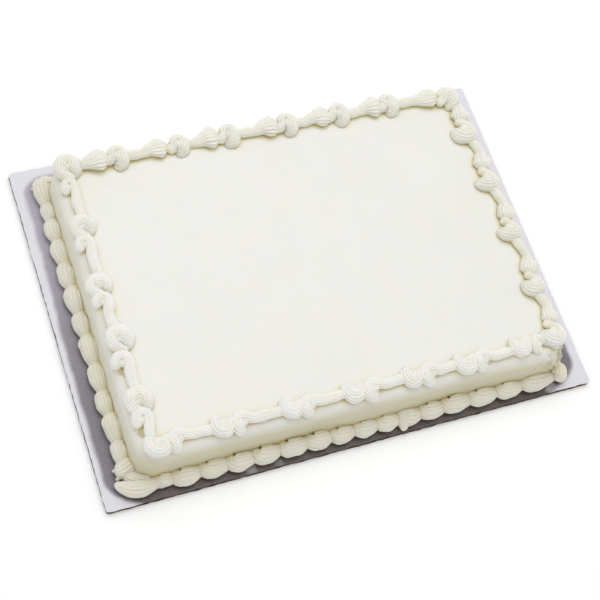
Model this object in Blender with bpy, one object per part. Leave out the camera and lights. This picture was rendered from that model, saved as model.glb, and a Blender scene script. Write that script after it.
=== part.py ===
"""Quarter sheet cake in white buttercream, on the corrugated board that it is built on.

Frame: +X runs along the long side, +Y to the back and +Z up, with the origin under the middle of the
board. Lengths are in millimetres and become metres where a mesh is made. Both borders are piped round
the cake anticlockwise as seen from above: left side, front, right side, back.
"""

import math
import random

import bmesh
import bpy
from mathutils import Vector

MM = 0.001

# Clear space between neighbouring pieces
GAP = 0.3

# Board
BOARD_LENGTH = 356.0
BOARD_DEPTH = 254.0
BOARD_THICKNESS = 4.0
BOARD_CORNER = 3.0

# Iced cake: foot of the wall, upright corners, lean of the wall and round of the top edge
CAKE_LENGTH = 312.0
CAKE_DEPTH = 228.0
CAKE_HEIGHT = 33.5
CAKE_CORNER = 14.0
CAKE_DRAFT = 1.5
SHOULDER = 10.0
CORNER_STEPS = 6
SHOULDER_STEPS = 5
CAKE_TOP = BOARD_THICKNESS + CAKE_HEIGHT

# Top border: pairs of swirls, a big one that opens inwards and a small one that opens outwards
ROPE_INSET = 9.7
ROPE_SIDES = 6
BIG_OFFSET = -2.8
BIG_LOOP = 4.8
BIG_ROPE = 4.1
SMALL_OFFSET = 1.4
SMALL_LOOP = 4.0
SMALL_ROPE = 3.4
SMALL_LEAD = 12.8
TAIL_ROPE = 3.7
TAIL_TIP = 2.6
HEAD_LIFT = 2.2
LOOP_STEP = 48.0
TIP_SHARE = 0.6
CORNER_SCALE = 1.12
CORE_SHARE = 0.85
CORE_LIFT = 1.2
CORE_SIDES = 5

# Middles of the big swirls, measured along each side from its start
SWIRL_STARTS = {
    "left": (1.0, 46.4, 90.2, 130.4, 174.5),
    "front": (6.8, 48.5, 94.5, 140.5, 181.3, 222.6, 265.3),
    "right": (5.6, 44.4, 90.8, 133.0, 175.5),
    "back": (10.0, 50.5, 91.0, 131.6, 174.4, 211.9, 254.6),
}

# Base border: a bead of shells, each with a round head and a tail that the next head covers
SHELL_REACH = 10.8
SHELL_HEIGHT = 11.6
NOTCH_REACH = 5.9
NOTCH_HEIGHT = 7.0
SHELL_PITCH = 18.2
SHELL_SPREAD = 0.12
CORNER_LAP = 11.5
CORNER_TUCK = 2.0
CORNER_SLACK = 0.5
BEAD_SEED = 11

# Joints between shells, measured along the two sides that are seen
SHELL_JOINTS = {
    "left": (-6.0, 16.0, 29.1, 45.1, 63.3, 81.0, 101.3, 117.8, 138.6, 159.3, 175.5, 195.5, 210.1, 221.5),
    "front": (-12.0, 14.6, 24.8, 43.5, 61.6, 80.3, 98.6, 118.2, 136.2, 152.2, 168.3, 184.5, 201.2,
              218.8, 239.8, 260.9, 280.4, 304.5),
}

# Part of a shell's length, and how far it has swelled there, from notch to full head
SHELL_PROFILE = ((0.04, 0.42), (0.16, 0.88), (0.34, 1.0), (0.62, 0.72), (0.90, 0.22))

# Outline of the bead across its length: share of its reach, share of its height
BEAD_SECTION = ((0.60, 0.0), (0.93, 0.20), (1.0, 0.46), (0.86, 0.80), (0.52, 1.0), (0.16, 0.93))

# Directions of each side: along the piping, and outwards
SIDES = {
    "left": ((0.0, -1.0), (-1.0, 0.0)),
    "front": ((1.0, 0.0), (0.0, -1.0)),
    "right": ((0.0, 1.0), (1.0, 0.0)),
    "back": ((-1.0, 0.0), (0.0, 1.0)),
}

ICING = (0.86, 0.85, 0.78)
PIPED_ICING = (0.88, 0.86, 0.76)
BOARD_PAPER = (0.72, 0.70, 0.76)


def clear_scene():
    """Remove every object of the open scene."""
    for obj in list(bpy.data.objects):
        bpy.data.objects.remove(obj, do_unlink=True)


def make_material(name, colour, roughness):
    """Plain surface with this colour and roughness."""
    material = bpy.data.materials.new(name)
    material.use_nodes = True
    shader = material.node_tree.nodes["Principled BSDF"]
    shader.inputs["Base Color"].default_value = (*colour, 1.0)
    shader.inputs["Roughness"].default_value = roughness
    shader.inputs["Metallic"].default_value = 0.0
    return material


def make_object(name, points, faces, material):
    """Object from points in millimetres, with its faces turned outwards."""
    mesh = bpy.data.meshes.new(name)
    mesh.from_pydata([Vector(point) * MM for point in points], [], faces)
    shape = bmesh.new()
    shape.from_mesh(mesh)
    bmesh.ops.recalc_face_normals(shape, faces=shape.faces)
    shape.to_mesh(mesh)
    shape.free()
    mesh.materials.append(material)
    obj = bpy.data.objects.new(name, mesh)
    bpy.context.collection.objects.link(obj)
    return obj


def loft(rings):
    """Faces of a closed solid through rings of equal size, with a flat cap at both ends."""
    size = len(rings[0])
    points = [point for ring in rings for point in ring]
    faces = [tuple(range(size))]
    for ring in range(len(rings) - 1):
        for k in range(size):
            after = (k + 1) % size
            low, high = ring * size, (ring + 1) * size
            faces.append((low + k, low + after, high + after, high + k))
    faces.append(tuple(len(points) - size + k for k in range(size)))
    return points, faces


def rounded_rectangle(half_x, half_y, radius, height, steps):
    """Ring of points round a rectangle with round corners."""
    ring = []
    for quarter in range(4):
        sign_x = 1 if quarter in (0, 3) else -1
        sign_y = 1 if quarter in (0, 1) else -1
        for step in range(steps + 1):
            angle = math.radians(90.0 * (quarter + step / steps))
            x = sign_x * (half_x - radius) + radius * math.cos(angle)
            y = sign_y * (half_y - radius) + radius * math.sin(angle)
            ring.append((x, y, height))
    return ring


def make_board(material):
    """Flat board under the cake."""
    rings = [rounded_rectangle(BOARD_LENGTH / 2, BOARD_DEPTH / 2, BOARD_CORNER, height, CORNER_STEPS)
             for height in (0.0, BOARD_THICKNESS)]
    points, faces = loft(rings)
    return make_object("board", points, faces, material)


def make_cake(material):
    """Iced block with leaning walls and a round top edge."""
    levels = [(0.0, BOARD_THICKNESS + GAP), (CAKE_DRAFT, CAKE_TOP - SHOULDER)]
    for step in range(1, SHOULDER_STEPS + 1):
        angle = math.radians(90.0 * step / SHOULDER_STEPS)
        inset = CAKE_DRAFT + SHOULDER * (1.0 - math.cos(angle))
        levels.append((inset, CAKE_TOP - SHOULDER * (1.0 - math.sin(angle))))
    rings = [rounded_rectangle(CAKE_LENGTH / 2 - inset, CAKE_DEPTH / 2 - inset, CAKE_CORNER, height,
                               CORNER_STEPS)
             for inset, height in levels]
    points, faces = loft(rings)
    return make_object("cake_body", points, faces, material)


def side_start(side, inset):
    """Corner where a side starts, on a rectangle this far in from the foot of the walls."""
    along, outward = SIDES[side]
    half = (CAKE_LENGTH / 2 - inset, CAKE_DEPTH / 2 - inset)
    return tuple(half[k] * (outward[k] - along[k]) for k in range(2))


def side_length(side, inset):
    """Length of a side of that rectangle."""
    along = SIDES[side][0]
    return abs(along[0]) * (CAKE_LENGTH - 2 * inset) + abs(along[1]) * (CAKE_DEPTH - 2 * inset)


def place(side, inset, distance, offset, height):
    """Point at a distance along a side, an offset outwards from it, and a height."""
    start = side_start(side, inset)
    along, outward = SIDES[side]
    x, y = (start[k] + distance * along[k] + offset * outward[k] for k in range(2))
    return Vector((x, y, height))


def resting_height(point, radius):
    """Height of a rope's middle where it lies on the cake's top or on its round edge."""
    inset = min(CAKE_LENGTH / 2 - abs(point.x), CAKE_DEPTH / 2 - abs(point.y))
    hang = max(0.0, CAKE_DRAFT + SHOULDER - inset)
    reach = SHOULDER + radius + GAP
    return CAKE_TOP - SHOULDER + math.sqrt(reach ** 2 - hang ** 2)


def loop_points(middle, offset, loop, angles):
    """Points round a swirl's middle, at angles turned from the piping direction to outwards."""
    return [(middle + loop * math.cos(math.radians(angle)), offset + loop * math.sin(math.radians(angle)))
            for angle in angles]


def big_swirl(middle, scale):
    """Route, radii and lifts of a swirl that curls round its outer side."""
    angles = [-60.0 - LOOP_STEP * step for step in range(6)]
    route = loop_points(middle, BIG_OFFSET, BIG_LOOP * scale, angles)
    route.append((middle + 8.0 * scale, BIG_OFFSET + 2.6))
    radii = [radius * scale for radius in (3.0, 3.8, BIG_ROPE, BIG_ROPE, BIG_ROPE, 3.8, 3.2)]
    lifts = [HEAD_LIFT * (1.0 - step / 6.0) for step in range(7)]
    return route, radii, lifts


def small_swirl(middle, tail_end):
    """Route, radii and lifts of a swirl that curls round its inner side and runs into a long tail."""
    start = middle + SMALL_LEAD
    angles = [70.0 + LOOP_STEP * step for step in range(5)]
    route = loop_points(start, SMALL_OFFSET, SMALL_LOOP, angles)
    radii = [2.7, 3.2, SMALL_ROPE, SMALL_ROPE, SMALL_ROPE]
    lifts = [HEAD_LIFT * (1.0 - step / 4.0) for step in range(5)]
    tail_start = min(start + 8.0, tail_end - 2.0)
    stops = ((0.0, TAIL_ROPE), (0.5, TAIL_ROPE), (1.0, TAIL_TIP))
    if tail_end - tail_start < 3.0 * TAIL_ROPE:
        stops = ((0.0, SMALL_ROPE), (1.0, TAIL_TIP))
    for share, radius in stops:
        route.append((tail_start + share * (tail_end - tail_start), 0.0))
        radii.append(radius)
        lifts.append(0.0)
    return route, radii, lifts


def rope(name, centres, radii, material):
    """Closed tube along centres, with a pointed cap at both ends."""
    count = len(centres)
    rings = []
    for k, (centre, radius) in enumerate(zip(centres, radii)):
        ahead = (centres[min(k + 1, count - 1)] - centres[max(k - 1, 0)]).normalized()
        across = ahead.cross(Vector((0.0, 0.0, 1.0))).normalized()
        up = across.cross(ahead)
        ring = []
        for side in range(ROPE_SIDES):
            angle = 2.0 * math.pi * (side + 0.5) / ROPE_SIDES
            ring.append(centre + radius * (math.cos(angle) * across + math.sin(angle) * up))
        rings.append(ring)
    points, faces = loft(rings)
    first = centres[0] + (centres[0] - centres[1]).normalized() * radii[0] * TIP_SHARE
    last = centres[-1] + (centres[-1] - centres[-2]).normalized() * radii[-1] * TIP_SHARE
    tips = (len(points), len(points) + 1)
    points += [first, last]
    caps = [faces.pop(0), faces.pop(-1)]
    for cap, tip in zip(caps, tips):
        faces += [(cap[k], cap[(k + 1) % ROPE_SIDES], tip) for k in range(ROPE_SIDES)]
    return make_object(name, points, faces, material)


def swirl_core(name, middle, radius, material):
    """Rounded blob that fills the middle of a swirl."""
    rings = []
    for tilt in (-35.0, 30.0):
        level, reach = math.sin(math.radians(tilt)), math.cos(math.radians(tilt))
        rings.append([middle + radius * Vector((reach * math.cos(math.tau * k / CORE_SIDES),
                                                reach * math.sin(math.tau * k / CORE_SIDES), level))
                      for k in range(CORE_SIDES)])
    points, faces = loft(rings)
    tips = (len(points), len(points) + 1)
    points += [middle - Vector((0.0, 0.0, radius)), middle + Vector((0.0, 0.0, radius))]
    caps = [faces.pop(0), faces.pop(-1)]
    for cap, tip in zip(caps, tips):
        faces += [(cap[k], cap[(k + 1) % CORE_SIDES], tip) for k in range(CORE_SIDES)]
    return make_object(name, points, faces, material)


def join_ropes(ropes, name):
    """One solid from overlapping ropes."""
    extra = bpy.data.collections.new(name + "_strokes")
    bpy.context.scene.collection.children.link(extra)
    body = ropes[0]
    body.name = name
    for other in ropes[1:]:
        bpy.context.collection.objects.unlink(other)
        extra.objects.link(other)
    union = body.modifiers.new("join", "BOOLEAN")
    union.operation = "UNION"
    union.operand_type = "COLLECTION"
    union.collection = extra
    union.solver = "MANIFOLD"
    graph = bpy.context.evaluated_depsgraph_get()
    joined = bpy.data.meshes.new_from_object(body.evaluated_get(graph))
    body.modifiers.clear()
    body.data = joined
    for other in ropes[1:]:
        bpy.data.objects.remove(other, do_unlink=True)
    bpy.data.collections.remove(extra)
    return body


def make_top_border(side, material):
    """Swirls along one side of the top, joined into one piece."""
    corner_head = (BIG_LOOP + BIG_ROPE) * CORNER_SCALE - BIG_OFFSET
    border_end = side_length(side, ROPE_INSET) - corner_head - TIP_SHARE * TAIL_TIP - 2.0 * GAP
    starts = SWIRL_STARTS[side]
    ropes = []
    for number, middle in enumerate(starts):
        is_last = number == len(starts) - 1
        tail_end = border_end if is_last else starts[number + 1] - 4.0
        scale = CORNER_SCALE if number == 0 else 1.0
        for kind, stroke in (("big", big_swirl(middle, scale)), ("small", small_swirl(middle, tail_end))):
            centres = []
            for (distance, offset), radius, lift in zip(*stroke):
                centre = place(side, ROPE_INSET, distance, offset, 0.0)
                centre.z = resting_height(centre, radius) + lift
                centres.append(centre)
            ropes.append(rope(f"{side}_{kind}_{number}", centres, stroke[1], material))
        for kind, distance, offset, loop in (("big", middle, BIG_OFFSET, BIG_LOOP * scale),
                                             ("small", middle + SMALL_LEAD, SMALL_OFFSET, SMALL_LOOP)):
            radius = loop * CORE_SHARE
            centre = place(side, ROPE_INSET, distance, offset, 0.0)
            centre.z = resting_height(centre, radius) + CORE_LIFT
            ropes.append(swirl_core(f"{side}_{kind}_core_{number}", centre, radius, material))
    return join_ropes(ropes, "top_border_" + side)


def shell_joints(side):
    """Distances along a side where one shell ends and the next begins."""
    if side in SHELL_JOINTS:
        return SHELL_JOINTS[side]
    dice = random.Random(BEAD_SEED + len(side))
    end = side_length(side, 0.0) - 7.0
    count = round((end + CORNER_LAP) / SHELL_PITCH)
    pitch = (end + CORNER_LAP) / count
    inner = [-CORNER_LAP + pitch * (k + dice.uniform(-SHELL_SPREAD, SHELL_SPREAD)) for k in range(1, count)]
    return (-CORNER_LAP, *inner, end)


def wall_offset(side, distance):
    """How far the bead may reach behind the straight side where the wall turns a corner."""
    length = side_length(side, 0.0)
    into_corner = CAKE_CORNER - min(distance, length - distance)
    if into_corner <= 0.0:
        return 0.0
    if into_corner >= CAKE_CORNER:
        return -CAKE_CORNER
    return math.sqrt(CAKE_CORNER ** 2 - into_corner ** 2) - CAKE_CORNER + CORNER_SLACK


def bead_ring(side, distance, swell):
    """Outline across the bead, from the wall outwards and back, for a swell from notch to head."""
    inner = max(wall_offset(side, distance) + GAP, -CORNER_TUCK)
    reach = NOTCH_REACH + swell * (SHELL_REACH - NOTCH_REACH)
    height = NOTCH_HEIGHT + swell * (SHELL_HEIGHT - NOTCH_HEIGHT)
    low = BOARD_THICKNESS + GAP
    ring = [place(side, 0.0, distance, inner, low)]
    for out_share, up_share in BEAD_SECTION:
        ring.append(place(side, 0.0, distance, inner + out_share * (reach - inner), low + up_share * height))
    ring.append(place(side, 0.0, distance, inner, low + 0.72 * height))
    return ring


def make_base_border(side, material):
    """Bead of shells along one side of the foot of the cake."""
    joints = shell_joints(side)
    rings = [bead_ring(side, joints[0], -0.35)]
    for start, end in zip(joints[:-1], joints[1:]):
        for share, swell in SHELL_PROFILE:
            rings.append(bead_ring(side, start + share * (end - start), swell))
    rings.append(bead_ring(side, joints[-1], -0.35))
    points, faces = loft(rings)
    return make_object("base_border_" + side, points, faces, material)


def build():
    """Make every piece of the cake."""
    clear_scene()
    icing = make_material("smooth_icing", ICING, 0.5)
    piped = make_material("piped_icing", PIPED_ICING, 0.45)
    paper = make_material("board_paper", BOARD_PAPER, 0.7)
    make_board(paper)
    make_cake(icing)
    for side in SIDES:
        make_top_border(side, piped)
        make_base_border(side, piped)


build()
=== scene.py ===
"""Looks of a quarter sheet cake in white buttercream on its corrugated board.

Lengths in the classes are in millimetres, in the frame's own axes: +X along the long side, +Y to the
back and +Z up from the underside of the board. Both borders are piped round the cake anticlockwise as
seen from above: left side, front, right side, back.
"""

import logging
import math
from collections.abc import Sequence
from dataclasses import dataclass, field
from enum import Enum

import bpy
import numpy as np
from mathutils import Matrix, Vector
from mathutils.kdtree import KDTree


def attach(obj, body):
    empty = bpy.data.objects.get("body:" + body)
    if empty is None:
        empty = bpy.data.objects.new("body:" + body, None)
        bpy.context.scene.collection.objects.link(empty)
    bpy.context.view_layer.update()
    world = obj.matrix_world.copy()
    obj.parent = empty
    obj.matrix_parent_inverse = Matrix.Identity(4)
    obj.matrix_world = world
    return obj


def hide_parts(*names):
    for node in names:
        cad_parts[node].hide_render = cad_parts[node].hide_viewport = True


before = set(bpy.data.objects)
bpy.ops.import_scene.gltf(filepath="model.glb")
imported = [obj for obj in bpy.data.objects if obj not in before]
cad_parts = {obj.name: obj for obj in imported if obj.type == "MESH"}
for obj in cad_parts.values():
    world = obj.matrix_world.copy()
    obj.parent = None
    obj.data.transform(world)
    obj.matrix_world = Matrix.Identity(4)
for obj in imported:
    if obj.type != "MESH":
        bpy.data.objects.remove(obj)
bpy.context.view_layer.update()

LOG = logging.getLogger("cake")
MM = 0.001
UP = np.array((0.0, 0.0, 1.0))

# A smooth route is worked out in this many steps to the millimetre, but in no fewer than the second
# number, and a stroke along it has no fewer rings than the third
ROUTE_FINENESS = 8
ROUTE_LEAST = 24
STROKE_LEAST = 6

# Ragged spots: size of the rags, how far they reach and where a spot starts to fade, as shares of its radius
RAG_SIZE = 2.6
RAG_REACH = 0.9
SPOT_HEART = 0.45

# Sockets of a Mix node for colours: the first colour, the second one and the result
MIX_FIRST = 6
MIX_SECOND = 7
MIX_RESULT = 2

# Number from which the extra strokes of a side are counted, past all its shells
FIRST_EXTRA = 100

Colour = tuple[float, float, float]
Rows = tuple[tuple[float, ...], ...]


class Side(Enum):
    """Sides in piping order, each with its direction along the piping and its outward direction."""

    LEFT = ((0.0, -1.0), (-1.0, 0.0))
    FRONT = ((1.0, 0.0), (0.0, -1.0))
    RIGHT = ((0.0, 1.0), (1.0, 0.0))
    BACK = ((-1.0, 0.0), (0.0, 1.0))

    @property
    def along(self) -> np.ndarray:
        """Direction of the piping."""
        return np.array(self.value[0])

    @property
    def outward(self) -> np.ndarray:
        """Direction away from the cake."""
        return np.array(self.value[1])

    @property
    def word(self) -> str:
        """Name of the side as the frame's nodes spell it."""
        return self.name.lower()


def unit(vectors: np.ndarray) -> np.ndarray:
    """Vectors of length one."""
    return vectors / np.maximum(np.linalg.norm(vectors, axis=-1, keepdims=True), 1e-9)


def ease(low: float, high: float, values: np.ndarray) -> np.ndarray:
    """Smooth step from 0 at low to 1 at high."""
    share = np.clip((values - low) / (high - low), 0.0, 1.0)
    return share * share * (3.0 - 2.0 * share)


def running_length(points: np.ndarray) -> np.ndarray:
    """Distance covered up to each of a row of points."""
    return np.concatenate(((0.0,), np.cumsum(np.linalg.norm(np.diff(points[:, :3], axis=0), axis=1))))


def at_height(outline: np.ndarray, height: float) -> np.ndarray:
    """Rows of x, y and z from rows of x and y."""
    return np.column_stack((outline, np.full(len(outline), height)))


def stroke_dice(seed: int, side: Side, number: int) -> np.random.Generator:
    """Source of one stroke's own unevenness."""
    return np.random.default_rng((seed, list(Side).index(side), number))


def add_object(name: str, data: bpy.types.ID) -> bpy.types.Object:
    """Puts a mesh, a light or a camera into the scene as an object."""
    thing = bpy.data.objects.new(name, data)
    bpy.context.scene.collection.objects.link(thing)
    return thing


@dataclass(frozen=True)
class Ripple:
    """Smooth unevenness of a surface, made of waves that run in all directions.

    Attributes:
        length: Typical distance from crest to crest.
        depth: Typical height of a crest.
        seed: Number that picks the waves.
        waves: How many waves are added up.
        paces: Range of how much longer than the typical distance a single wave is.
    """

    length: float
    depth: float
    seed: int
    waves: int = 14
    paces: tuple[float, float] = (0.7, 1.5)

    def at(self, points: np.ndarray) -> np.ndarray:
        """Height of the unevenness at points.

        Args:
            points: Places in millimetres, the last axis being x, y, z.

        Returns:
            One height for each point.
        """
        dice = np.random.default_rng(self.seed)
        headings = unit(dice.normal(size=(self.waves, 3)))
        counts = math.tau / (self.length * dice.uniform(*self.paces, self.waves))
        starts = dice.uniform(0.0, math.tau, self.waves)
        total = np.zeros(points.shape[:-1])
        for heading, count, start in zip(headings, counts, starts):
            total += np.sin(points @ (heading * count) + start)
        return total * self.depth * math.sqrt(2.0 / self.waves)


@dataclass
class Solid:
    """Closed surface in millimetres.

    Attributes:
        points: Its corners, one row each.
        faces: Its faces, as rows of corner numbers.
        hollows: For each corner, 0 on a crest and 1 at the bottom of a groove.
    """

    points: np.ndarray
    faces: list[tuple[int, ...]]
    hollows: np.ndarray

    def to_object(self, name: str) -> bpy.types.Object:
        """Puts the surface into the scene.

        Args:
            name: Name of the new object.

        Returns:
            The object, smooth shaded.
        """
        mesh = bpy.data.meshes.new(name)
        mesh.from_pydata((self.points * MM).tolist(), [], self.faces)
        mesh.shade_smooth()
        return add_object(name, mesh)


def ring_faces(rings: int, size: int) -> list[tuple[int, ...]]:
    """Faces of a tube through rings of equal size, turned outwards for rings that go round rightwards."""
    ring, spot = np.meshgrid(np.arange(rings - 1), np.arange(size), indexing="ij")
    after = (spot + 1) % size
    corners = np.stack((ring * size + spot, (ring + 1) * size + spot, (ring + 1) * size + after,
                        ring * size + after), axis=-1)
    return [tuple(face) for face in corners.reshape(-1, 4).tolist()]


def stacked(rings: np.ndarray) -> Solid:
    """Closed surface through rings that lie one above the other and go round leftwards.

    Args:
        rings: Points of each ring, from the lowest to the highest.

    Returns:
        The surface, with one flat face at each end.
    """
    count, size = rings.shape[:2]
    faces = [tuple(reversed(face)) for face in ring_faces(count, size)]
    faces += [tuple(reversed(range(size))), tuple(range((count - 1) * size, count * size))]
    return Solid(rings.reshape(-1, 3), faces, np.zeros(count * size))


def rounded_ring(half_x: float, half_y: float, radius: float, steps: Sequence[np.ndarray],
                 turns: np.ndarray) -> np.ndarray:
    """Points round a rectangle with round corners, leftwards from the side that faces +X.

    Args:
        half_x: Half its length.
        half_y: Half its depth.
        radius: Radius of its corners.
        steps: Where points lie along the sides in x, and along those in y, from -1 to 1.
        turns: Where points lie on a corner, in radians from its start.

    Returns:
        Rows of x and y.
    """
    parts = []
    for quarter in range(4):
        angle = quarter * math.pi / 2.0
        ahead = np.array((-math.sin(angle), math.cos(angle)))
        out = np.array((math.cos(angle), math.sin(angle)))
        far, side = (half_y, half_x) if quarter % 2 else (half_x, half_y)
        flat = side - radius
        parts.append(out * far + np.multiply.outer(steps[1 - quarter % 2] * flat, ahead))
        middle = out * (far - radius) + ahead * flat
        parts.append(middle + radius * (np.multiply.outer(np.cos(turns), out)
                                        + np.multiply.outer(np.sin(turns), ahead)))
    return np.concatenate(parts)


def smooth_route(stops: np.ndarray, spacing: float) -> np.ndarray:
    """Even steps along a smooth curve through stops.

    Args:
        stops: Rows of x, y and z that the curve passes through, each followed by values that go with them.
        spacing: Distance between two steps in millimetres.

    Returns:
        Rows like the stops.
    """
    marks = running_length(stops)
    slopes = np.gradient(stops, marks, axis=0)
    fine = np.linspace(0.0, marks[-1], max(ROUTE_LEAST, int(marks[-1] * ROUTE_FINENESS)))
    span = np.clip(np.searchsorted(marks, fine, side="right") - 1, 0, len(stops) - 2)
    width = (marks[span + 1] - marks[span])[:, None]
    t = (fine[:, None] - marks[span][:, None]) / width
    curve = ((2 * t ** 3 - 3 * t ** 2 + 1) * stops[span] + (t ** 3 - 2 * t ** 2 + t) * width * slopes[span]
             + (3 * t ** 2 - 2 * t ** 3) * stops[span + 1] + (t ** 3 - t ** 2) * width * slopes[span + 1])
    run = running_length(curve)
    steps = np.linspace(0.0, run[-1], max(STROKE_LEAST, round(run[-1] / spacing) + 1))
    return np.stack([np.interp(steps, run, column) for column in curve.T], axis=1)


@dataclass(frozen=True)
class Nozzle:
    """Star nozzle, which leaves ridges along the cream that it pipes.

    Attributes:
        ridges: Ridges round the rope.
        steps: Corners in the mesh across one ridge.
        groove: Depth of a groove as a share of the rope's radius.
        unlike: How much deeper or shallower than that one groove is, as a share of its depth.
        spacing: Distance between two rings of the mesh along the rope.
        dome: Length of the round ends as a share of the rope's radius.
        dome_rings: Rings in a round end.
        dome_gap: Least distance from a round end to the next ring.
        tip_hollow: How deep the middle of a round end counts as lying in a groove.
        wobble: Uneven thickness of the rope.
        grain: Small bumps of the cream.
    """

    ridges: int = 16
    steps: int = 6
    groove: float = 0.13
    unlike: float = 0.25
    spacing: float = 0.75
    dome: float = 0.8
    dome_rings: int = 5
    dome_gap: float = 0.3
    tip_hollow: float = 0.4
    wobble: Ripple = Ripple(9.0, 0.16, 5)
    grain: Ripple = Ripple(2.4, 0.035, 6)

    def pipe(self, stops: np.ndarray, dice: np.random.Generator, twist: float = 0.0) -> Solid:
        """Pipes one stroke.

        Args:
            stops: Rows of x, y, z, radius, bank and width along the middle of the rope. The bank is the
                angle in radians that lifts its right side, and the width stretches it sideways.
            dice: Source of the stroke's own unevenness.
            twist: Angle that the ridges turn round the rope on their way, in radians.

        Returns:
            The rope as a closed surface.
        """
        route = self._round_ends(smooth_route(stops, self.spacing))
        middle, radius, bank, width = route[:, :3], route[:, 3], route[:, 4:5], route[:, 5]
        ahead = unit(np.gradient(middle, axis=0))
        level = unit(np.cross(ahead, UP))
        upright = np.cross(level, ahead)
        across = np.cos(bank) * level + np.sin(bank) * upright
        upward = np.cos(bank) * upright - np.sin(bank) * level
        share = np.linspace(0.0, 1.0, len(route))

        count = self.ridges * self.steps
        start = dice.uniform(0.0, math.tau / self.ridges)
        around = np.arange(count) * math.tau / count
        hollow = 1.0 - np.abs(np.cos(0.5 * self.ridges * around))
        own_depth = np.repeat(dice.uniform(1.0 - self.unlike, 1.0 + self.unlike, self.ridges), self.steps)
        angle = start + around[None, :] + twist * share[:, None]
        reach = radius[:, None] * (1.0 - self.groove * own_depth * hollow)
        spokes = ((np.cos(angle) * width[:, None])[..., None] * across[:, None, :]
                  + np.sin(angle)[..., None] * upward[:, None, :])
        points = middle[:, None, :] + reach[..., None] * spokes
        swell = self.wobble.at(points) + self.grain.at(points)
        fade = np.minimum(1.0, radius / radius.max() * 2.0)
        points = (points + (swell * fade[:, None])[..., None] * spokes)[1:-1]

        rings = len(points)
        first, last, base = rings * count, rings * count + 1, (rings - 1) * count
        faces = ring_faces(rings, count)
        faces += [(first, spot, (spot + 1) % count) for spot in range(count)]
        faces += [(last, base + (spot + 1) % count, base + spot) for spot in range(count)]
        corners = np.concatenate((points.reshape(-1, 3), middle[:1], middle[-1:]))
        hollows = np.concatenate((np.tile(hollow, rings), (self.tip_hollow, self.tip_hollow)))
        return Solid(corners, faces, hollows)

    def _round_ends(self, route: np.ndarray) -> np.ndarray:
        """Thins the rope to nothing over a round end at its start and its finish."""
        run = running_length(route)
        angles = np.linspace(0.0, math.pi / 2.0, self.dome_rings + 1)
        head = self.dome * route[0, 3] * (1.0 - np.cos(angles))
        tail = run[-1] - self.dome * route[-1, 3] * (1.0 - np.cos(angles[::-1]))
        inside = run[(run > head[-1] + self.dome_gap) & (run < tail[0] - self.dome_gap)]
        steps = np.concatenate((head, inside, tail))
        rounded = np.stack([np.interp(steps, run, column) for column in route.T], axis=1)
        thin = np.ones(len(steps))
        thin[:len(head)] = np.sin(angles)
        thin[-len(tail):] = np.sin(angles[::-1])
        rounded[:, 3] *= thin
        return rounded


def join_strokes(strokes: Sequence[Solid], name: str, crease_angle: float = 58.0) -> bpy.types.Object:
    """Melts strokes that overlap into one closed surface.

    Args:
        strokes: The strokes of one piece.
        name: Name of the piece.
        crease_angle: Bend in degrees above which an edge stays crisp.

    Returns:
        The piece, with the depth of its grooves in the attribute "hollow".
    """
    shapes = [stroke.to_object(f"{name}_{number}") for number, stroke in enumerate(strokes)]
    extra = bpy.data.collections.new(name + "_strokes")
    bpy.context.scene.collection.children.link(extra)
    body = shapes[0]
    for shape in shapes[1:]:
        bpy.context.scene.collection.objects.unlink(shape)
        extra.objects.link(shape)
    union = body.modifiers.new("join", "BOOLEAN")
    union.operation = "UNION"
    union.operand_type = "COLLECTION"
    union.collection = extra
    union.solver = "MANIFOLD"
    graph = bpy.context.evaluated_depsgraph_get()
    joined = bpy.data.meshes.new_from_object(body.evaluated_get(graph))
    for shape in shapes:
        bpy.data.objects.remove(shape, do_unlink=True)
    bpy.data.collections.remove(extra)
    joined.name = name
    joined.shade_smooth()
    joined.set_sharp_from_angle(angle=math.radians(crease_angle))
    mark_hollows(joined, strokes)
    return add_object(name, joined)


def mark_hollows(mesh: bpy.types.Mesh, strokes: Sequence[Solid]) -> None:
    """Writes how deep in a groove each corner lies to the mesh's attribute "hollow".

    Args:
        mesh: The joined surface.
        strokes: The strokes that it was made of.
    """
    known = np.concatenate([stroke.points for stroke in strokes])
    depth = np.concatenate([stroke.hollows for stroke in strokes])
    tree = KDTree(len(known))
    for number, point in enumerate((known * MM).tolist()):
        tree.insert(point, number)
    tree.balance()
    nearest = [tree.find(corner.co)[1] for corner in mesh.vertices]
    attribute = mesh.attributes.new("hollow", "FLOAT", "POINT")
    attribute.data.foreach_set("value", depth[nearest].astype(np.float32))


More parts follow.
